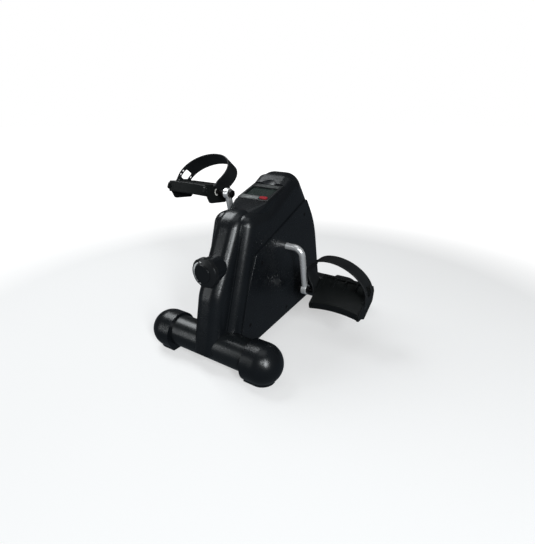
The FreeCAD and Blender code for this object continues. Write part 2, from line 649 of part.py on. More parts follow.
def knob_collar():
    """Round boss between the knob and the sloping column."""
    boss = rod(V(0, KNOB_BACK_Y + 0.5, KNOB_Z), V(0, -128.0, KNOB_Z), 21.0)
    edges = [e for e in boss.Edges if e.BoundBox.YMax < KNOB_BACK_Y + 1]
    boss = boss.makeFillet(1.5, edges)
    boss = boss.cut(console_block())
    boss = boss.cut(box(-60, 60, -134.0, -90, 100, 220))
    boss = boss.cut(rod(V(0, -220, KNOB_Z), V(0, -100, KNOB_Z), SCREW_RADIUS + 1.5))
    return min(boss.Solids, key=lambda solid: solid.CenterOfMass.y)


# ---- drive --------------------------------------------------------------------------
def crank_axle():
    """Hollow sleeve with a flange for the wheel; the crank rods are pinned into its ends."""
    sleeve = x_rod(-BEARING_X1 - 1, BEARING_X1 + 1, AXLE_Y, AXLE_Z, SLEEVE_RADIUS)
    flange = x_rod(3.0, 6.0, AXLE_Y, AXLE_Z, 20.0)
    shape = sleeve.fuse(flange).removeSplitter()
    shape = shape.cut(x_rod(-60, 60, AXLE_Y, AXLE_Z, ROD_RADIUS))
    for side in (-1, 1):
        shape = shape.cut(pin_hole(side))
    return shape


PIN_X = 18.0


def pin_hole(side):
    return rod(V(side * PIN_X, AXLE_Y, AXLE_Z - 20), V(side * PIN_X, AXLE_Y, AXLE_Z + 20), 2.0)


def crank_pins():
    pins = []
    for side in (-1, 1):
        pin = rod(V(side * PIN_X, AXLE_Y, AXLE_Z - 10), V(side * PIN_X, AXLE_Y, AXLE_Z + 10), 2.0)
        pins.append(pin)
    return Part.makeCompound(pins)


def axle_bearing(side):
    return tube_x(*sorted((side * BEARING_X0, side * BEARING_X1)), AXLE_Y, AXLE_Z, BEARING_OUTER,
                  SLEEVE_RADIUS + RUNNING)


LIGHTENING_RING, LIGHTENING_RADIUS = 43.0, 13.0   # six round windows in the wheel


def brake_wheel():
    """Spoked wheel with a wide rim, screwed to the sleeve's flange."""
    rim = tube_x(-WHEEL_HALF, WHEEL_HALF, AXLE_Y, AXLE_Z, WHEEL_RADIUS, WHEEL_RADIUS - 9)
    web = x_rod(-3.0, 3.0, AXLE_Y, AXLE_Z, WHEEL_RADIUS - 5)
    hub = x_rod(-8.0, 3.0, AXLE_Y, AXLE_Z, 20.0)
    wheel = fuse([rim, web, hub])
    wheel = wheel.cut(x_rod(-20, 20, AXLE_Y, AXLE_Z, SLEEVE_RADIUS))
    for k in range(6):
        angle = 2 * math.pi * k / 6
        y, z = AXLE_Y + LIGHTENING_RING * math.cos(angle), AXLE_Z + LIGHTENING_RING * math.sin(angle)
        wheel = wheel.cut(x_rod(-20, 20, y, z, LIGHTENING_RADIUS))
    return wheel


WHEEL_SCREW_REACH = 14.5


def wheel_screw_shape(k):
    """Shank and head of one of the screws through the flange into the wheel."""
    angle = math.pi / 4 + math.pi / 2 * k
    y = AXLE_Y + WHEEL_SCREW_REACH * math.cos(angle)
    z = AXLE_Z + WHEEL_SCREW_REACH * math.sin(angle)
    return x_rod(-5.0, 7.0, y, z, 2.0), x_rod(6.0, 8.0, y, z, 3.4)


def wheel_screws():
    shapes = [wheel_screw_shape(k) for k in range(4)]
    return Part.makeCompound([shank.fuse(head).removeSplitter() for shank, head in shapes])


def without_screws(shape):
    for k in range(4):
        shape = shape.cut(wheel_screw_shape(k)[0])
    return shape


MAGNET_ANGLE = math.radians(90.0)
MAGNET_REACH = 54.0


def sensor_magnet():
    y = AXLE_Y + MAGNET_REACH * math.cos(MAGNET_ANGLE)
    z = AXLE_Z + MAGNET_REACH * math.sin(MAGNET_ANGLE)
    return x_rod(3.0, 11.0, y, z, 4.0)


SENSOR_Y, SENSOR_Z = 5.0, AXLE_Z - MAGNET_REACH
CABLE_RADIUS = 1.2


def speed_sensor():
    body = box(14.5, UPRIGHT_X0, SENSOR_Y - 8, SENSOR_Y + 8, SENSOR_Z - 6, SENSOR_Z + 6)
    return body.makeFillet(1.0, [e for e in body.Edges if e.BoundBox.XMax < 15])


def sensor_cable():
    """Cable from the sensor, round the axle and up to the display board."""
    x = 19.0
    board_end = DISPLAY_PLACE.multVec(V(x, -12.0, -6.8))
    points = [V(x, SENSOR_Y - 8.6, SENSOR_Z), V(x, SENSOR_Y - 26, SENSOR_Z + 10),
              V(x, SENSOR_Y - 36, AXLE_Z), V(x, SENSOR_Y - 34, AXLE_Z + 50), board_end]
    path = Part.BSplineCurve()
    path.interpolate(points)
    spine = Part.Wire(path.toShape())
    start_direction = path.tangent(path.FirstParameter)[0]
    profile = Part.Wire(Part.makeCircle(CABLE_RADIUS, points[0], start_direction))
    return spine.makePipeShell([profile], True, True)


# ---- cranks and pedals --------------------------------------------------------------
def crank_direction():
    lean = math.radians(CRANK_LEAN)
    return V(0, math.sin(lean), -math.cos(lean))


def pedal_centre(side):
    """Point on the pedal's axis, in the plane x = 0."""
    return V(0, AXLE_Y, AXLE_Z) + crank_direction() * (CRANK_LENGTH * side)


EYE_RADIUS, EYE_HALF = 9.5, 5.0
SPINDLE_TIP = PEDAL_OUT - 7.5
SPINDLE_ROOT = 60.0


def crank(side):
    """Right crank as drawn, left as its half turn: a rod bent once, with a flat threaded eye."""
    down = crank_direction()
    start = V(8.0, AXLE_Y, AXLE_Z)
    bend_start = V(CRANK_X - BEND_RADIUS, AXLE_Y, AXLE_Z)
    corner = V(CRANK_X, AXLE_Y, AXLE_Z)
    bend_end = corner + down * BEND_RADIUS
    bend_centre = bend_start + down * BEND_RADIUS
    bend_mid = bend_centre + (V(1, 0, 0) - down).normalize() * BEND_RADIUS
    eye = corner + down * CRANK_LENGTH
    path = Part.Wire([
        Part.LineSegment(start, bend_start).toShape(),
        Part.Arc(bend_start, bend_mid, bend_end).toShape(),
        Part.LineSegment(bend_end, eye + down * 2).toShape(),
    ])
    profile = Part.Wire(Part.makeCircle(ROD_RADIUS, start, X_AXIS))
    bar = path.makePipeShell([profile], True, True)
    boss = x_rod(CRANK_X - EYE_HALF, CRANK_X + EYE_HALF, eye.y, eye.z, EYE_RADIUS)
    rims = [e for e in boss.Edges if e.BoundBox.XLength < 0.01]
    boss = boss.makeFillet(1.2, rims)
    flats = [box(CRANK_X + EYE_HALF, CRANK_X + 20, eye.y - 14, eye.y + 14, eye.z - 14, eye.z + 9),
             box(CRANK_X - 20, CRANK_X - EYE_HALF, eye.y - 14, eye.y + 14, eye.z - 14, eye.z + 9)]
    shape = bar.fuse(boss)
    for flat in flats:
        shape = shape.cut(flat)
    shape = shape.cut(x_rod(50, 100, eye.y, eye.z, SPINDLE_RADIUS)).cut(pin_hole(1))
    shape = one_solid(shape)
    if side < 0:
        shape.rotate(V(0, AXLE_Y, AXLE_Z), V(1, 0, 0), 180)
        shape = mirrored(shape)
    return shape


def pedal_spindle(side):
    centre = pedal_centre(side)
    shank = x_rod(SPINDLE_ROOT, SPINDLE_TIP, centre.y, centre.z, SPINDLE_RADIUS)
    flange = hexagon(13.0, 5.0, V(CRANK_X + EYE_HALF, centre.y, centre.z), X_AXIS)
    shape = shank.fuse(flange).removeSplitter()
    return shape if side > 0 else mirrored(shape)


def spindle_nuts():
    nuts = []
    for side in (1, -1):
        centre = pedal_centre(side)
        nut = hexagon(13.0, 5.5, V(CRANK_X - EYE_HALF - 5.5, centre.y, centre.z), X_AXIS)
        nut = nut.cut(x_rod(50, 90, centre.y, centre.z, SPINDLE_RADIUS))
        nuts.append(nut if side > 0 else mirrored(nut))
    return Part.makeCompound(nuts)


CLIP_RADIUS = 5.8


def spindle_clips():
    """Rings pressed on the spindles' outer ends, which keep the pedals on."""
    clips = []
    for side in (1, -1):
        centre = pedal_centre(side)
        clip = tube_x(SPINDLE_TIP - 2.2, SPINDLE_TIP - 0.7, centre.y, centre.z, CLIP_RADIUS, SPINDLE_RADIUS)
        clips.append(clip if side > 0 else mirrored(clip))
    return Part.makeCompound(clips)


PLATE_THICK = 4.0
BARREL_RADIUS = 10.0
BUSH_OUTER = 7.0
DECK_TOP, DECK_LOW = 12.0, -8.0
RECESS_DEPTH, WEB_THICK = 2.5, 3.0
PEG_HEIGHT = 9.5
PEG_SPREAD = 9.0
PEG_RADIUS = 2.2
CAP_SEAT_RADIUS = 8.5


def place_pedal(shape, side):
    """Turns a piece drawn about the pedal's axis, x outward, into its place on one side."""
    if side < 0:
        shape = mirrored(shape)
    pitch = RIGHT_PITCH if side > 0 else LEFT_PITCH
    centre = pedal_centre(side)
    shape.Placement = FreeCAD.Placement(centre, FreeCAD.Rotation(X_AXIS, pitch)).multiply(shape.Placement)
    return shape


def end_plate(x0):
    """Side plate of a pedal: pointed front tip, rounded back and a low weighted belly."""
    corners = [(PEDAL_FRONT - 6, -1.0, 1.5), (PEDAL_FRONT - 3, 9.0, 4),
               (STRAP_Y - 17, 10.5, 4), (STRAP_Y - 15, 14.5, 3),
               (STRAP_Y + 15, 14.5, 3), (STRAP_Y + 18, 10.5, 4),
               (PEDAL_REAR + 1, 9.0, 4), (PEDAL_REAR + 1, -6.0, 4),
               (26.0, -20.0, 6), (-16.0, -21.0, 6), (-25.0, -8.0, 6)]
    plate = side_face(corners).extrude(V(PLATE_THICK, 0, 0))
    plate.translate(V(x0, 0, 0))
    return plate


def pedal_tread():
    """Foot platform: bowed front edge, ribs in shallow recesses along the rear, hollow below."""
    x0, x1 = PEDAL_IN + 2, PEDAL_OUT - 2
    middle = (x0 + x1) / 2
    bow = 5.0
    front = Part.Arc(V(x0, PEDAL_FRONT - 2, DECK_LOW), V(middle, PEDAL_FRONT - 2 + bow, DECK_LOW),
                     V(x1, PEDAL_FRONT - 2, DECK_LOW)).toShape()
    sides = Part.makePolygon([V(x1, PEDAL_FRONT - 2, DECK_LOW), V(x1, PEDAL_REAR, DECK_LOW),
                              V(x0, PEDAL_REAR, DECK_LOW), V(x0, PEDAL_FRONT - 2, DECK_LOW)])
    block = Part.Face(Part.Wire([front] + sides.Edges)).extrude(V(0, 0, DECK_TOP - DECK_LOW))
    long_edges = [e for e in block.Edges if e.BoundBox.ZLength < 0.01 and e.BoundBox.XLength > 50]
    block = block.makeFillet(2.0, long_edges)
    bays = 4
    bay_width = (x1 - x0 - PLATE_THICK * 2) / bays
    for k in range(bays):
        left = x0 + PLATE_THICK + k * bay_width + 2
        right = left + bay_width - 4
        block = block.cut(box(left, right, BARREL_RADIUS, PEDAL_REAR - 6, DECK_TOP - RECESS_DEPTH, 30))
        web_base = DECK_TOP - RECESS_DEPTH - WEB_THICK
        for y0, y1 in ((PEDAL_FRONT + 9, -BARREL_RADIUS + 1), (BARREL_RADIUS - 1, PEDAL_REAR - 6)):
            block = block.cut(box(left, right, y0, y1, -30, web_base))
    return block


def pedal(side):
    barrel = x_rod(PEDAL_IN, PEDAL_OUT, 0, 0, BARREL_RADIUS)
    shape = fuse([pedal_tread(), barrel, end_plate(PEDAL_IN), end_plate(PEDAL_OUT - PLATE_THICK)])
    shape = shape.cut(x_rod(PEDAL_IN - 1, SPINDLE_TIP + 1, 0, 0, SPINDLE_RADIUS + 1.5))
    for x0, x1 in bush_spans():
        shape = shape.cut(x_rod(x0, x1, 0, 0, BUSH_OUTER))
    for y in (STRAP_Y - PEG_SPREAD, STRAP_Y + PEG_SPREAD):
        shape = shape.fuse(x_rod(PEDAL_OUT - 1, PEDAL_OUT + 3.6, y, PEG_HEIGHT, PEG_RADIUS))
        shape = shape.fuse(x_rod(PEDAL_IN - 3.6, PEDAL_IN + 1, y, PEG_HEIGHT, PEG_RADIUS))
    shape = shape.cut(x_rod(PEDAL_OUT - 6, PEDAL_OUT, 0, 0, CAP_SEAT_RADIUS))
    return place_pedal(one_solid(shape.removeSplitter()), side)


def bush_spans():
    return [(PEDAL_IN, PEDAL_IN + 8), (PEDAL_OUT - 18, PEDAL_OUT - 10)]


def pedal_bushes(side):
    bushes = [tube_x(x0, x1, 0, 0, BUSH_OUTER, SPINDLE_RADIUS + RUNNING) for x0, x1 in bush_spans()]
    return place_pedal(Part.makeCompound(bushes), side)


def pedal_cap(side):
    cap = x_rod(PEDAL_OUT - 6, PEDAL_OUT, 0, 0, CAP_SEAT_RADIUS)
    cap = cap.makeFillet(1.0, [e for e in cap.Edges if e.BoundBox.XMin > PEDAL_OUT - 0.1])
    return place_pedal(cap, side)


# Middle line of a strap across the pedal: distance from the centre plane, height over the axis.
STRAP_LINE = [
    (95.6, 0.0), (95.6, 10.0), (91.5, 20.0), (85.5, 32.0), (82.6, 44.0), (86.5, 56.0), (98.5, 65.0),
    (116.0, 69.5), (140.0, 67.0), (160.0, 58.0), (176.0, 46.5), (188.0, 34.0), (193.3, 21.0), (193.5, 10.0),
    (193.4, 0.0),
]


def strap(side):
    """Band over the foot, pegged to both end plates; it leans back and stays flat across."""
    curve = Part.BSplineCurve()
    curve.interpolate([V(x, 0, z) for x, z in STRAP_LINE])
    steps = 48
    rail_a, rail_b = [], []
    for k in range(steps + 1):
        t = curve.FirstParameter + (curve.LastParameter - curve.FirstParameter) * k / steps
        point = curve.value(t)
        normal = curve.tangent(t)[0].cross(Y_AXIS).normalize() * (STRAP_THICK / 2)
        rail_a.append(point + normal)
        rail_b.append(point - normal)
    outer, inner = Part.BSplineCurve(), Part.BSplineCurve()
    outer.interpolate(rail_a)
    inner.interpolate(rail_b)
    far_end = Part.LineSegment(rail_a[-1], rail_b[-1]).toShape()
    near_end = Part.LineSegment(rail_b[0], rail_a[0]).toShape()
    face = Part.Face(Part.Wire([outer.toShape(), far_end, inner.toShape(), near_end]))
    band = face.extrude(V(0, STRAP_WIDTH, 0))
    band.translate(V(0, -STRAP_WIDTH / 2, 0))
    band.rotate(V(0, 0, PEG_HEIGHT), X_AXIS, -STRAP_LEAN)
    band.translate(V(0, STRAP_Y, 0))
    for y in (STRAP_Y - PEG_SPREAD, STRAP_Y + PEG_SPREAD):
        band = band.cut(x_rod(80, 210, y, PEG_HEIGHT, PEG_RADIUS + 0.4))
    band = band.cut(x_rod(PEDAL_IN - 10, PEDAL_IN, 0, 0, SPINDLE_RADIUS + 2.5))
    return place_pedal(one_solid(band), side)


# ---- all pieces ---------------------------------------------------------------------
def build():
    right_caps = {"front": end_cap(-FOOT_Y), "rear": end_cap(FOOT_Y)}
    return {
        "main_frame": main_frame(),
        "front_foot_tube": bolt_holes(foot_tube(-FOOT_Y)),
        "rear_foot_tube": bolt_holes(foot_tube(FOOT_Y)),
        "front_right_end_cap": right_caps["front"],
        "rear_right_end_cap": right_caps["rear"],
        "front_left_end_cap": mirrored(right_caps["front"]),
        "rear_left_end_cap": mirrored(right_caps["rear"]),
        "foot_pads": foot_pads(),
        "foot_bolts": foot_bolts(),
        "left_shell": shell(-1),
        "right_shell": shell(1),
        "console_cover": console_cover(),
        "left_side_cover": side_cover(-1),
        "right_side_cover": side_cover(1),
        "shell_screws": shell_screws(),
        "display_case": display_case(),
        "display_lens": display_lens(),
        "lcd_panel": lcd_panel(),
        "display_board": display_board(),
        "display_battery": display_battery(),
        "display_button": display_button(),
        "speed_sensor": speed_sensor(),
        "sensor_cable": sensor_cable(),
        "sensor_magnet": sensor_magnet(),
        "crank_axle": without_screws(crank_axle()),
        "crank_pins": crank_pins(),
        "left_axle_bearing": axle_bearing(-1),
        "right_axle_bearing": axle_bearing(1),
        "brake_wheel": without_screws(brake_wheel()),
        "wheel_screws": wheel_screws(),
        "felt_lining": felt_lining(),
        "brake_band": brake_band(),
        "band_pin": band_pin(),
        "tension_spring": tension_spring(),
        "tension_slider": tension_slider(),
        "tension_screw": tension_screw(),
        "tension_knob": tension_knob(),
        "knob_cap": knob_cap(),
        "knob_collar": knob_collar(),
        "left_crank": crank(-1),
        "right_crank": crank(1),
        "left_pedal_spindle": pedal_spindle(-1),
        "right_pedal_spindle": pedal_spindle(1),
        "spindle_nuts": spindle_nuts(),
        "spindle_clips": spindle_clips(),
        "left_pedal": pedal(-1),
        "right_pedal": pedal(1),
        "left_pedal_bushes": pedal_bushes(-1),
        "right_pedal_bushes": pedal_bushes(1),
        "left_pedal_cap": pedal_cap(-1),
        "right_pedal_cap": pedal_cap(1),
        "left_strap": strap(-1),
        "right_strap": strap(1),
    }


def main():
    os.makedirs("parts", exist_ok=True)
    for name, shape in build().items():
        box_ = shape.BoundBox
        print(f"{name:22s} solids {len(shape.Solids)} valid {shape.isValid()} volume {shape.Volume:10.0f} "
              f"x {box_.XMin:7.1f} {box_.XMax:7.1f} y {box_.YMin:7.1f} {box_.YMax:7.1f} "
              f"z {box_.ZMin:6.1f} {box_.ZMax:6.1f}")
        shape.exportStep(f"parts/{name}.step")


main()
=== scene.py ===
import json
import math

import bmesh
import bpy
from mathutils import Matrix, Vector

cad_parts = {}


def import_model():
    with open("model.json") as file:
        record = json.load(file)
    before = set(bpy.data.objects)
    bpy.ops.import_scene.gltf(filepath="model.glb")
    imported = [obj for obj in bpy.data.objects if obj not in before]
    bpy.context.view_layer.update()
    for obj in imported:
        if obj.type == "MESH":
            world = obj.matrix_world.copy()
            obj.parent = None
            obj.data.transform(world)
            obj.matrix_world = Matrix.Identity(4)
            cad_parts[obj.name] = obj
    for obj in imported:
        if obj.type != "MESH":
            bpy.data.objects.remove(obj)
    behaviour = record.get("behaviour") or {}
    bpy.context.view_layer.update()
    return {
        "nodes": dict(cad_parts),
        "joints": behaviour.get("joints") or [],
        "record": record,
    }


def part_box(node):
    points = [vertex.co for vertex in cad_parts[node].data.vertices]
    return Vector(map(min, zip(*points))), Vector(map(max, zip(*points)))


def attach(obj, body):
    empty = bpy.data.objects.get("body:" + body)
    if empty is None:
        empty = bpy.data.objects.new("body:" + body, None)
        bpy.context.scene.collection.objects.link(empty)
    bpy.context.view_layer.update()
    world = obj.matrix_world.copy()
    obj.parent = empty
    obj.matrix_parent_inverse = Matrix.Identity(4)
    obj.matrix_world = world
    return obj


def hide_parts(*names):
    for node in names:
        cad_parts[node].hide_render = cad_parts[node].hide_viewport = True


# The looks of a pedal exerciser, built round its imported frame. Lengths are in metres.
# +Z is up, +X is the right-hand pedal, -Y is the knob and the person pedalling.

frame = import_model()
nodes = frame["nodes"]
joints = {joint["name"]: joint for joint in frame["joints"]}

MM = 0.001


# ---- materials ----------------------------------------------------------------------
class Surface:
    """A Principled material whose inputs are fed by procedural nodes."""

    INPUTS = {"metallic": "Metallic", "specular": "Specular IOR Level",
              "sheen": "Sheen Weight", "ior": "IOR"}

    def __init__(self, name, **values):
        self.material = bpy.data.materials.new(name)
        self.material.use_nodes = True
        self.tree = self.material.node_tree
        self.shader = self.tree.nodes["Principled BSDF"]
        self.place = self.node("ShaderNodeTexCoord").outputs["Object"]
        for key, value in values.items():
            self.set(self.INPUTS[key], value)

    def node(self, kind, inputs=None, **settings):
        made = self.tree.nodes.new(kind)
        for key, value in settings.items():
            setattr(made, key, value)
        for key, value in (inputs or {}).items():
            self.feed(made.inputs[key], value)
        return made

    def feed(self, socket, value):
        if isinstance(value, bpy.types.NodeSocket):
            self.tree.links.new(value, socket)
        elif isinstance(value, tuple) and len(value) == 3 and socket.type == "RGBA":
            socket.default_value = (*value, 1.0)
        else:
            socket.default_value = value

    def set(self, key, value):
        self.feed(self.shader.inputs[key], value)

    def stretched(self, x, y, z):
        inputs = {0: self.place, 1: (x, y, z)}
        return self.node("ShaderNodeVectorMath", inputs, operation="MULTIPLY").outputs[0]

    def noise(self, size, detail=2.0, place=None, rough=0.5):
        """Noise from 0 to 1 whose features are about size across."""
        inputs = {"Vector": place or self.place, "Scale": 1.0 / size,
                  "Detail": detail, "Roughness": rough}
        return self.node("ShaderNodeTexNoise", inputs).outputs["Fac"]

    def cells(self, size):
        """Rounded grains about size across."""
        inputs = {"Vector": self.place, "Scale": 1.0 / size}
        return self.node("ShaderNodeTexVoronoi", inputs).outputs["Distance"]

    def spread(self, value, low, high, start=0.3, end=0.7):
        """Maps a value's start..end to low..high."""
        inputs = {"Value": value, "From Min": start, "From Max": end, "To Min": low, "To Max": high}
        return self.node("ShaderNodeMapRange", inputs).outputs[0]

    def mix(self, factor, first, second):
        made = self.node("ShaderNodeMix", data_type="RGBA")
        for index, value in ((0, factor), (6, first), (7, second)):
            self.feed(made.inputs[index], value)
        return made.outputs[2]

    def math(self, operation, first, second=0.0):
        return self.node("ShaderNodeMath", {0: first, 1: second}, operation=operation).outputs[0]

    def edges(self, radius):
        """1 on convex and concave edges, 0 on smooth stretches."""
        bevel = self.node("ShaderNodeBevel", {"Radius": radius}, samples=4).outputs[0]
        normal = self.node("ShaderNodeNewGeometry").outputs["Normal"]
        both = self.node("ShaderNodeVectorMath", {0: bevel, 1: normal}, operation="DOT_PRODUCT")
        return self.spread(self.math("SUBTRACT", 1.0, both.outputs["Value"]), 0.0, 1.0, 0.02, 0.25)

    def patches(self, noise, first, second):
        """Soft patches of two colours."""
        return self.mix(self.spread(noise, 0, 1), first, second)

    def worn_and_highlit_edges(self, base, color, radius, wear_and_highlight):
        """A base colour that turns to another along convex and concave edges, as far as the given
        amount says: partly rubbed wear, partly a painted edge highlight.
        """
        return self.mix(self.math("MULTIPLY", self.edges(radius), wear_and_highlight), base, color)

    def color(self, value):
        self.set("Base Color", value)

    def roughness(self, noise, low, high):
        self.set("Roughness", self.spread(noise, low, high))

    def relief(self, *layers):
        """Bumps the surface with (height, depth) layers."""
        normal = None
        for height, depth in layers:
            inputs = {"Height": height, "Distance": depth, "Strength": 1.0}
            if normal is not None:
                inputs["Normal"] = normal
            normal = self.node("ShaderNodeBump", inputs).outputs[0]
        self.set("Normal", normal)


def moulded(name, dark, light, roughness, grain=0.45 * MM, depth=0.03 * MM,
            wear_and_highlight_color=(0.07, 0.077, 0.082), wear_and_highlight_share=0.25, shine=0.45):
    """Moulded black plastic: fine spark grain, soft flow marks, and lighter edges that are partly
    wear and partly a painted edge highlight.
    """
    s = Surface(name, specular=shine)
    base = s.patches(s.noise(70 * MM, 3), dark, light)
    wear_and_highlight = s.spread(s.noise(9 * MM, 4), 0.0, wear_and_highlight_share, 0.42, 0.68)
    # Lighter colour along convex and concave edges, in patches: partly wear, partly a painted edge
    # highlight.
    s.color(s.worn_and_highlit_edges(base, wear_and_highlight_color, 0.9 * MM, wear_and_highlight))
    s.roughness(s.noise(24 * MM, 4, rough=0.6), roughness - 0.02, roughness + 0.03)
    s.relief((s.cells(grain), depth), (s.noise(12 * MM, 2), 0.02 * MM))
    return s.material


def powder_coat():
    s = Surface("powder_coat", specular=0.5)
    s.color(s.patches(s.noise(50 * MM, 3), (0.006, 0.0075, 0.0085), (0.010, 0.012, 0.0135)))
    s.roughness(s.noise(15 * MM, 4), 0.25, 0.33)
    s.relief((s.noise(1.3 * MM, 2), 0.03 * MM))
    return s.material


def rubber():
    s = Surface("pad_rubber", specular=0.35)
    s.color(s.patches(s.noise(6 * MM, 5), (0.018, 0.018, 0.018), (0.035, 0.034, 0.033)))
    s.roughness(s.noise(4 * MM, 3), 0.65, 0.85)
    s.relief((s.noise(0.6 * MM, 3), 0.06 * MM))
    return s.material


def chrome():
    """Satin bright plate over a drawn rod: faint lengthwise lines, a few dull spots."""
    s = Surface("crank_chrome", metallic=0.62, specular=0.8)
    dull = s.spread(s.noise(7 * MM, 5, rough=0.7), 0, 1, 0.55, 0.75)
    s.color(s.mix(dull, (0.98, 0.98, 0.98), (0.86, 0.86, 0.87)))
    lines = s.noise(0.8 * MM, 3, s.stretched(1.0, 1.0, 0.06))
    s.set("Roughness", s.math("ADD", s.spread(lines, 0.20, 0.27), s.spread(dull, 0.0, 0.08, 0, 1)))
    s.relief((lines, 0.012 * MM))
    return s.material


def zinc():
    s = Surface("zinc_steel", metallic=1.0)
    spangle = s.spread(s.cells(3 * MM), 0, 1, 0.1, 0.8)
    s.color(s.mix(spangle, (0.42, 0.43, 0.44), (0.60, 0.60, 0.60)))
    s.roughness(s.noise(2 * MM, 4), 0.25, 0.42)
    s.relief((s.noise(0.4 * MM, 2), 0.01 * MM))
    return s.material


def blackened_steel():
    s = Surface("black_oxide", metallic=0.85)
    s.color(s.patches(s.noise(2 * MM, 4), (0.012, 0.012, 0.013), (0.035, 0.034, 0.036)))
    s.roughness(s.noise(3 * MM, 3), 0.32, 0.5)
    s.relief((s.noise(0.5 * MM, 2), 0.02 * MM))
    return s.material


def cast_iron():
    s = Surface("wheel_iron", metallic=1.0)
    s.color(s.patches(s.noise(4 * MM, 5), (0.16, 0.16, 0.165), (0.28, 0.275, 0.27)))
    s.roughness(s.noise(6 * MM, 4), 0.42, 0.6)
    s.relief((s.noise(0.9 * MM, 4), 0.12 * MM))
    return s.material


def bronze():
    s = Surface("bearing_bronze", metallic=1.0)
    s.color(s.patches(s.noise(1.2 * MM, 4), (0.50, 0.33, 0.15), (0.68, 0.48, 0.26)))
    s.roughness(s.noise(2 * MM, 3), 0.3, 0.5)
    s.relief((s.cells(0.3 * MM), 0.02 * MM))
    return s.material


def felt():
    s = Surface("grey_felt", specular=0.1, sheen=0.6)
    fibre = s.noise(1.2 * MM, 5, s.stretched(0.35, 1.0, 1.4), 0.7)
    s.color(s.patches(fibre, (0.16, 0.16, 0.155), (0.34, 0.33, 0.32)))
    s.roughness(fibre, 0.85, 1.0)
    s.relief((fibre, 0.4 * MM))
    return s.material


def natural_plastic():
    s = Surface("white_plastic", specular=0.4)
    s.color(s.patches(s.noise(20 * MM, 3), (0.66, 0.65, 0.60), (0.76, 0.75, 0.71)))
    s.roughness(s.noise(5 * MM, 3), 0.38, 0.5)
    s.relief((s.noise(0.8 * MM, 2), 0.02 * MM))
    return s.material


def circuit_board():
    """Green board whose copper tracks show as a fine raised grid."""
    s = Surface("board_green", specular=0.5)
    grid = {"Vector": s.place, "Scale": 1.0 / (6 * MM), "Mortar Size": 0.04}
    tracks = s.node("ShaderNodeTexBrick", grid, offset=0.5).outputs["Fac"]
    s.color(s.mix(tracks, (0.012, 0.10, 0.045), (0.05, 0.22, 0.10)))
    s.roughness(s.noise(3 * MM, 3), 0.3, 0.45)
    s.relief((tracks, 0.05 * MM))
    return s.material


def clear_lens():
    """Clear cover over the screen: mostly see-through, with a thin sharp reflection."""
    s = Surface("clear_lens", ior=1.45)
    s.color((0.02, 0.03, 0.027))
    s.roughness(s.noise(8 * MM, 4), 0.05, 0.12)
    s.set("Alpha", 0.16)
    s.relief((s.noise(14 * MM, 1), 0.01 * MM))
    return s.material


def lcd_glass():
    """Dark grey-green panel, switched off, with a very fine grain."""
    s = Surface("lcd_glass", specular=0.5)
    grain = s.noise(0.35 * MM, 1)
    base = s.patches(s.noise(30 * MM, 2), (0.030, 0.042, 0.038), (0.046, 0.060, 0.054))
    s.color(s.mix(s.spread(grain, 0, 0.2), base, (0.022, 0.030, 0.027)))
    s.roughness(s.noise(6 * MM, 3), 0.2, 0.3)
    s.relief((grain, 0.005 * MM))
    return s.material


def inked(name, color, shade, roughness=0.42):
    """Printed or pigmented plastic of one colour with slight mottling."""
    s = Surface(name, specular=0.5)
    s.color(s.patches(s.noise(2.5 * MM, 5), color, shade))
    s.roughness(s.noise(3 * MM, 3), roughness - 0.05, roughness + 0.05)
    s.relief((s.noise(0.5 * MM, 2), 0.01 * MM))
    return s.material


def strap_plastic():
    """Flexible black vinyl with a fine woven-looking emboss, and lighter edges that are partly
    scuffs and partly a painted edge highlight.
    """
    s = Surface("strap_plastic", specular=0.3)
    base = s.patches(s.noise(30 * MM, 3), (0.007, 0.008, 0.009), (0.013, 0.0145, 0.0155))
    wear_and_highlight = s.spread(s.noise(5 * MM, 4), 0.0, 0.5, 0.4, 0.65)
    # Grey along the strap's edges and the openings' rims, in patches: partly scuffs, partly a
    # painted edge highlight.
    s.color(s.worn_and_highlit_edges(base, (0.11, 0.115, 0.12), 0.8 * MM, wear_and_highlight))
    s.roughness(s.noise(10 * MM, 4), 0.42, 0.56)
    s.relief((s.cells(1.1 * MM), 0.09 * MM), (s.noise(0.35 * MM, 2), 0.02 * MM))
    return s.material


CASING_DARK, CASING_LIGHT = (0.0045, 0.0056, 0.0070), (0.0070, 0.0086, 0.0105)
MATERIALS = {
    "black_painted_steel": powder_coat(),
    "black_casing": moulded("black_casing", CASING_DARK, CASING_LIGHT, 0.27),
    "black_trim": moulded("black_trim", (0.007, 0.008, 0.009), (0.011, 0.012, 0.013), 0.36),
    "pad_rubber": rubber(),
    "zinc_steel": zinc(),
    "clear_lens": clear_lens(),
    "lcd_glass": lcd_glass(),
    "board_green": circuit_board(),
    "red_button": inked("red_button", (0.36, 0.012, 0.022), (0.28, 0.010, 0.018), 0.35),
    "cable_rubber": rubber(),
    "bearing_brass": bronze(),
    "wheel_iron": cast_iron(),
    "grey_felt": felt(),
    "white_plastic": natural_plastic(),
    "cap_gloss": moulded("cap_gloss", (0.006, 0.007, 0.008), (0.010, 0.011, 0.012), 0.2),
    "crank_chrome": chrome(),
    # Its lighter edge colour is partly wear and partly a painted edge highlight.
    "pedal_plastic": moulded("pedal_plastic", (0.005, 0.006, 0.006), (0.009, 0.0105, 0.0105), 0.44,
                             grain=0.7 * MM, depth=0.06 * MM, wear_and_highlight_color=(0.08, 0.085, 0.085), wear_and_highlight_share=0.4,
                             shine=0.2),
    "strap_plastic": strap_plastic(),
}
BLACK_STEEL = blackened_steel()
LABEL_GREY = inked("label_grey", (0.20, 0.21, 0.205), (0.15, 0.16, 0.155))
PRINT_WHITE = inked("print_white", (0.74, 0.75, 0.75), (0.66, 0.67, 0.67), 0.5)
BLACKENED = {"spindle_nuts", "shell_screws", "left_pedal_spindle", "right_pedal_spindle",
             "spindle_clips"}


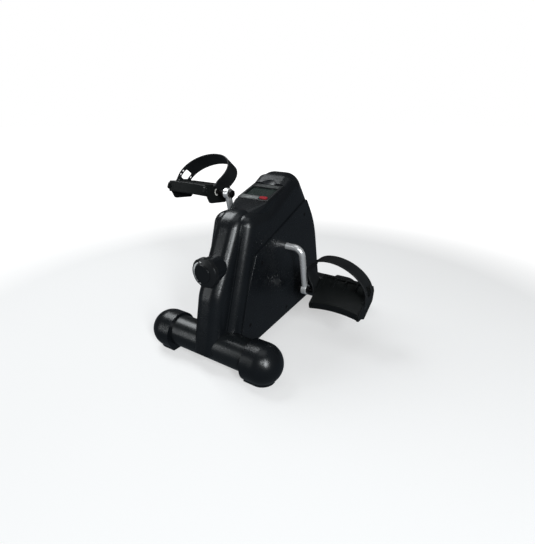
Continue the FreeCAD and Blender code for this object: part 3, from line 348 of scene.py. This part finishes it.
def paint_frame():
    """Gives every CAD node its finished material."""
    slots = {part["node"]: part["material_slot"] for part in frame["record"]["subparts"]}
    for name, node in nodes.items():
        material = BLACK_STEEL if name in BLACKENED else MATERIALS[slots[name]]
        for slot in node.material_slots:
            slot.material = material


# ---- mesh helpers -------------------------------------------------------------------
def new_piece(name, bm, material, body):
    """Turns a bmesh into a smooth-shaded piece that rides on a CAD body."""
    mesh = bpy.data.meshes.new(name)
    bmesh.ops.recalc_face_normals(bm, faces=bm.faces)
    bm.to_mesh(mesh)
    bm.free()
    for polygon in mesh.polygons:
        polygon.use_smooth = True
    mesh.materials.append(material)
    piece = bpy.data.objects.new(name, mesh)
    bpy.context.scene.collection.objects.link(piece)
    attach(piece, body)
    return piece


def modifier(piece, kind, **settings):
    made = piece.modifiers.new(kind.lower(), kind)
    for key, value in settings.items():
        setattr(made, key, value)


def smooth_line(points, step):
    """Points about step apart on a smooth curve through the given ones."""
    ends = [points[0] * 2 - points[1]] + points + [points[-1] * 2 - points[-2]]
    line = []
    for i in range(1, len(ends) - 2):
        a, b, c, d = ends[i - 1:i + 3]
        pieces = max(2, round((c - b).length / step))
        for k in range(pieces):
            t = k / pieces
            straight = 2 * b + (c - a) * t
            bend = (2 * a - 5 * b + 4 * c - d) * t * t
            line.append(0.5 * (straight + bend + (3 * b - a - 3 * c + d) * t ** 3))
    line.append(points[-1])
    return line


def point_along(line, distance):
    """Point at a distance from the start of a polyline."""
    for a, b in zip(line, line[1:]):
        length = (b - a).length
        if distance <= length:
            return a.lerp(b, distance / length)
        distance -= length
    return line[-1]


# ---- straps -------------------------------------------------------------------------
PEDAL_PITCH = {"right": math.radians(30.0), "left": math.radians(-8.0)}
STRAP_HALF, STRAP_THICK = 16.5 * MM, 2.6 * MM
STRAP_EDGE = 1.3 * MM                # mesh rows this close to every rim keep the rims crisp
STRAP_LEAN = math.radians(30.0)      # leans forward about the pegs that hold it
STRAP_BACK = 8.0 * MM                # the pegs stand this far behind the pedal's axis
PEG_HEIGHT = 9.5 * MM
# The strap's middle line from its outer end over the foot to its inner one: how far outward, as a
# share of the way from the inner end plate to the outer one, and how far up in millimetres.
STRAP_LINE = [(1.0, 0.0), (1.0, 10.0), (0.992, 22.0), (0.925, 37.0), (0.79, 51.0), (0.61, 61.0),
              (0.42, 65.5), (0.24, 64.5), (0.11, 58.5), (0.035, 48.0), (0.020, 36.0),
              (0.055, 23.0), (0.110, 12.0), (0.122, 0.0)]
CURVE_STEP = 1.5 * MM
# Openings near the outer end: from here to there along the strap, and across it from its middle.
WINDOW, WINDOW_HALF = (14.5 * MM, 33.0 * MM), 8.5 * MM
LEG_HOLES = [(17.0 * MM, 20.5 * MM), (25.0 * MM, 28.5 * MM)]
LEG_HOLE = (10.6 * MM, 13.8 * MM)
MIDDLE_HALF = 3.0 * MM               # the two middle columns of the mesh stand this far out
STRAP_ROWS, ROW_GAP = 64, 1.6 * MM   # even mesh rows, left out where they crowd an opening's edge


def strap_rows(total):
    """Where the mesh rows lie along a strap: even steps, and the edges of every opening."""
    marks = {0.0, total, STRAP_EDGE, total - STRAP_EDGE, *WINDOW}
    for hole in LEG_HOLES:
        marks.update(hole)
    even = [k * total / STRAP_ROWS for k in range(1, STRAP_ROWS)]
    clear = {row for row in even if all(abs(row - mark) > ROW_GAP for mark in marks)}
    return sorted(marks | clear)


def strap_columns():
    """Where the mesh columns lie across a strap, the same on both sides of its middle."""
    one_side = [MIDDLE_HALF, WINDOW_HALF, *LEG_HOLE, STRAP_HALF - STRAP_EDGE, STRAP_HALF]
    return [-v for v in reversed(one_side)] + one_side


def in_opening(along, across):
    """Whether a place on a strap lies in its window or in one of the legs' holes."""
    if WINDOW[0] < along < WINDOW[1] and abs(across) < WINDOW_HALF:
        return True
    in_leg = LEG_HOLE[0] < abs(across) < LEG_HOLE[1]
    return in_leg and any(start < along < end for start, end in LEG_HOLES)


def strap_place(side):
    """Carries a strap drawn upright over the pedal's axis to its leaning place on the pedal."""
    axis = Vector(joints[f"{side}_pedal_spin"]["pos_m"])
    pedal = Matrix.Translation((0, axis.y, axis.z)) @ Matrix.Rotation(PEDAL_PITCH[side], 4, "X")
    pegs = pedal @ Matrix.Translation((0, STRAP_BACK, PEG_HEIGHT))
    leaning = pegs @ Matrix.Rotation(-STRAP_LEAN, 4, "X")
    return leaning @ Matrix.Translation((0, 0, -PEG_HEIGHT))


def strap(side):
    """Moulded strap: the outer end forks into two pierced legs round an open window."""
    sign = 1 if side == "right" else -1
    low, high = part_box(f"{side}_strap")
    inner, outer = sorted((abs(low.x), abs(high.x)))
    inner, outer = inner + STRAP_THICK / 2, outer - STRAP_THICK / 2
    points = [Vector((inner + share * (outer - inner), 0.0, up * MM)) for share, up in STRAP_LINE]
    line = smooth_line(points, CURVE_STEP)
    rows = strap_rows(sum((b - a).length for a, b in zip(line, line[1:])))
    columns = strap_columns()
    place = strap_place(side)

    bm = bmesh.new()
    grid = []
    for row in rows:
        point = point_along(line, row)
        grid.append([bm.verts.new(place @ Vector((sign * point.x, v, point.z))) for v in columns])
    for i in range(len(rows) - 1):
        for j in range(len(columns) - 1):
            if not in_opening((rows[i] + rows[i + 1]) / 2, (columns[j] + columns[j + 1]) / 2):
                bm.faces.new((grid[i][j], grid[i + 1][j], grid[i + 1][j + 1], grid[i][j + 1]))
    loose = [v for v in bm.verts if not v.link_faces]
    bmesh.ops.delete(bm, geom=loose, context="VERTS")

    material = MATERIALS["strap_plastic"]
    piece = new_piece(f"{side}_foot_strap", bm, material, f"{side}_pedal")
    modifier(piece, "SOLIDIFY", thickness=STRAP_THICK, offset=0.0, use_even_offset=True)
    modifier(piece, "SUBSURF", levels=2, render_levels=2)
    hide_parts(f"{side}_strap")


# ---- knob and display markings ------------------------------------------------------
KNOB_DOME = 62.0 * MM                # radius of the crowned face of the knob's cap
KNOB_LIFT = 0.05 * MM                # the print's middle layer stands this far in front of it
ARC_RADIUS, ARC_WIDTH = 18.4 * MM, 3.6 * MM
ARC_START, ARC_END = math.radians(118), math.radians(232)
ARC_STEPS = 40
ARC_TIP, ARC_TAPER = 0.08, 0.8       # width left at the arc's tips, and how fast it grows
PLUS_AT, MINUS_AT = math.radians(104), math.radians(246)
BAR_HALF, STROKE_HALF = 2.2 * MM, 0.45 * MM
STROKE_LIFT = 0.02 * MM              # keeps the plus sign's two strokes apart
PRINT_THICK = 0.3 * MM


def draw_arc(bm, on_face):
    """Arc on the knob's face, widest in its middle."""
    rows = []
    for k in range(ARC_STEPS + 1):
        share = k / ARC_STEPS
        angle = ARC_START + (ARC_END - ARC_START) * share
        swell = math.sin(math.pi * (ARC_TIP + (1 - 2 * ARC_TIP) * share)) ** ARC_TAPER
        half = 0.5 * ARC_WIDTH * swell
        rows.append([bm.verts.new(on_face(angle, ARC_RADIUS + side * half)) for side in (-1, 0, 1)])
    for a, b in zip(rows, rows[1:]):
        for j in range(2):
            bm.faces.new((a[j], b[j], b[j + 1], a[j + 1]))


def draw_stroke(bm, middle, along, wide):
    """One straight stroke of a plus or minus sign."""
    corners = [middle + along * a + wide * b for a, b in ((-1, -1), (1, -1), (1, 1), (-1, 1))]
    bm.faces.new([bm.verts.new(corner) for corner in corners])


def knob_scale():
    """Tapered white arc on the knob's face, with a small plus and minus at its ends."""
    centre = Vector(joints["tension_knob_turn"]["pos_m"])
    face_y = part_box("knob_cap")[0].y - KNOB_LIFT

    def on_face(angle, reach):
        sink = KNOB_DOME - math.sqrt(KNOB_DOME ** 2 - reach ** 2)
        return Vector((centre.x + reach * math.cos(angle), face_y + sink,
                       centre.z + reach * math.sin(angle)))

    flat = Vector((BAR_HALF, 0, 0)), Vector((0, 0, STROKE_HALF))
    upright = Vector((0, 0, BAR_HALF)), Vector((STROKE_HALF, 0, 0))
    plus, minus = on_face(PLUS_AT, ARC_RADIUS), on_face(MINUS_AT, ARC_RADIUS)
    bm = bmesh.new()
    draw_arc(bm, on_face)
    draw_stroke(bm, plus, *flat)
    draw_stroke(bm, plus - Vector((0, STROKE_LIFT, 0)), *upright)
    draw_stroke(bm, minus, *flat)
    piece = new_piece("knob_scale", bm, PRINT_WHITE, "tension_knob")
    modifier(piece, "SOLIDIFY", thickness=PRINT_THICK, offset=0.0)


# Marks on the display's bezel, from the display's own middle: left, right, front, rear.
LIGHT_STRIP = (-28.0 * MM, 9.5 * MM, -25.0 * MM, -15.5 * MM)
LINE_LEFT, LINE_RIGHT, LINE_DEEP = -22.0 * MM, 25.0 * MM, 0.7 * MM
FIRST_LINE, LINE_STEP, LINES = 17.0 * MM, 2.6 * MM, 3
LENS_BACK, LENS_UP = 0.75 * MM, 0.35 * MM     # the lens's middle, from the display's middle
BEZEL_UP = 1.55 * MM                          # the printed face, just above the bezel
CORNER_RADIUS, CORNER_SHARE = 0.9 * MM, 0.45  # never more than this share of a mark's depth
FOIL_THICK = 0.2 * MM


def display_marks():
    """Light strip beside the button and fine lines behind the screen, laid on the bezel."""
    up = -Vector(joints["display_button_press"]["axis"]).normalized()
    across = Vector((1, 0, 0))
    back = up.cross(across)
    low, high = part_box("display_lens")
    middle = (low + high) / 2 - back * LENS_BACK - up * LENS_UP

    def mark(name, left, right, front, rear):
        bm = bmesh.new()
        corners = ((left, front), (right, front), (right, rear), (left, rear))
        bm.faces.new([bm.verts.new(middle + across * x + back * y + up * BEZEL_UP)
                      for x, y in corners])
        radius = min(CORNER_RADIUS, CORNER_SHARE * (rear - front))
        bmesh.ops.bevel(bm, geom=bm.verts[:], offset=radius, segments=4, affect="VERTICES")
        piece = new_piece(name, bm, LABEL_GREY, "frame")
        modifier(piece, "SOLIDIFY", thickness=FOIL_THICK, offset=0.0)

    mark("display_strip", *LIGHT_STRIP)
    for k in range(LINES):
        front = FIRST_LINE + LINE_STEP * k
        mark(f"display_line_{k}", LINE_LEFT, LINE_RIGHT, front, front + LINE_DEEP)


# ---- stage --------------------------------------------------------------------------
FLOOR_RADIUS = 9.0
FLOOR_GLOW = 1.2                     # plain white light mixed into the floor the camera sees
GLOW_FROM, GLOW_TO = 0.6, 0.95       # distances over which that light takes over from shading,
GLOW_NEAR, GLOW_FAR = 0.4, 1.0       # and its share at each
FLOOR_TINT, FLOOR_DIM = (0.75, 0.87, 1.0), 0.10     # the floor as shiny surfaces reflect it
ROOM_DIM = 0.06                      # the room as they reflect it
LAMP_COLOR = (0.94, 0.98, 1.0)
CAMERA_PLACE = (0.3906, -0.5761, 0.3980)
CAMERA_TILT, CAMERA_TURN = math.radians(67.443), math.radians(33.836)
CAMERA_LENS, CAMERA_SENSOR = 26.47, 36.0


def floor_paint():
    """Pale floor: softly shaded to the camera, dim in reflections so that black stays black."""
    s = Surface("floor_pale", specular=0.1)
    s.color(s.patches(s.noise(0.8, 2), (0.86, 0.86, 0.86), (0.88, 0.88, 0.88)))
    s.set("Roughness", 0.8)
    distance = s.node("ShaderNodeVectorMath", {0: s.place}, operation="LENGTH").outputs["Value"]
    share = s.spread(distance, GLOW_NEAR, GLOW_FAR, GLOW_FROM, GLOW_TO)
    glow = s.node("ShaderNodeEmission", {"Color": (1.0, 1.0, 1.0), "Strength": FLOOR_GLOW})
    bright = s.node("ShaderNodeMixShader", {0: share, 1: s.shader.outputs[0], 2: glow.outputs[0]})
    dim = s.node("ShaderNodeEmission", {"Color": FLOOR_TINT, "Strength": FLOOR_DIM})
    seen = s.node("ShaderNodeLightPath").outputs["Is Camera Ray"]
    both = s.node("ShaderNodeMixShader", {0: seen, 1: dim.outputs[0], 2: bright.outputs[0]})
    s.feed(s.tree.nodes["Material Output"].inputs["Surface"], both.outputs[0])
    return s.material


def floor():
    bm = bmesh.new()
    bmesh.ops.create_circle(bm, cap_ends=True, segments=96, radius=FLOOR_RADIUS)
    mesh = bpy.data.meshes.new("floor")
    bm.to_mesh(mesh)
    bm.free()
    mesh.materials.append(floor_paint())
    plane = bpy.data.objects.new("floor", mesh)
    bpy.context.scene.collection.objects.link(plane)


def world():
    """White to the camera, and a dim even room in reflections."""
    made = bpy.data.worlds.new("studio")
    bpy.context.scene.world = made
    made.use_nodes = True
    tree = made.node_tree
    background = tree.nodes["Background"]
    ray = tree.nodes.new("ShaderNodeLightPath")
    room = tree.nodes.new("ShaderNodeMapRange")
    room.inputs["To Min"].default_value = ROOM_DIM
    room.inputs["To Max"].default_value = 1.0
    tree.links.new(ray.outputs["Is Camera Ray"], room.inputs["Value"])
    tree.links.new(room.outputs[0], background.inputs["Strength"])
    background.inputs["Color"].default_value = (1, 1, 1, 1)


def softbox(name, place, target, width, height, watts):
    data = bpy.data.lights.new(name, "AREA")
    data.shape = "RECTANGLE"
    data.size, data.size_y = width, height
    data.energy = watts
    data.color = LAMP_COLOR
    lamp = bpy.data.objects.new(name, data)
    bpy.context.scene.collection.objects.link(lamp)
    lamp.location = place
    lamp.rotation_euler = (Vector(target) - Vector(place)).to_track_quat("-Z", "Y").to_euler()


def lights():
    """Lamps from both front corners and above; the second one is mirrored in the shoulder."""
    softbox("key", (-1.05, -1.45, 0.45), (0, 0, 0.15), 0.16, 1.0, 3)
    softbox("shoulder", (-0.80, 0.0, 1.2), (0, -0.08, 0.24), 0.65, 0.65, 9)
    softbox("fill", (1.5, -1.1, 1.0), (0, 0, 0.15), 0.3, 0.9, 26)
    softbox("front", (0.75, -1.25, 0.95), (0, -0.12, 0.15), 0.25, 0.25, 4)
    softbox("top", (0.1, -0.2, 1.9), (0, 0, 0.1), 1.2, 1.0, 3)


def camera():
    """Looks down on the front right of the exerciser from knee height."""
    data = bpy.data.cameras.new("camera")
    data.sensor_width = CAMERA_SENSOR
    data.lens = CAMERA_LENS
    made = bpy.data.objects.new("camera", data)
    bpy.context.scene.collection.objects.link(made)
    made.location = CAMERA_PLACE
    made.rotation_euler = (CAMERA_TILT, 0.0, CAMERA_TURN)
    bpy.context.scene.camera = made


# ---- the object ---------------------------------------------------------------------
paint_frame()
for side in ("left", "right"):
    strap(side)
knob_scale()
display_marks()
floor()
world()
lights()
camera()
bpy.context.scene.view_settings.view_transform = "Standard"
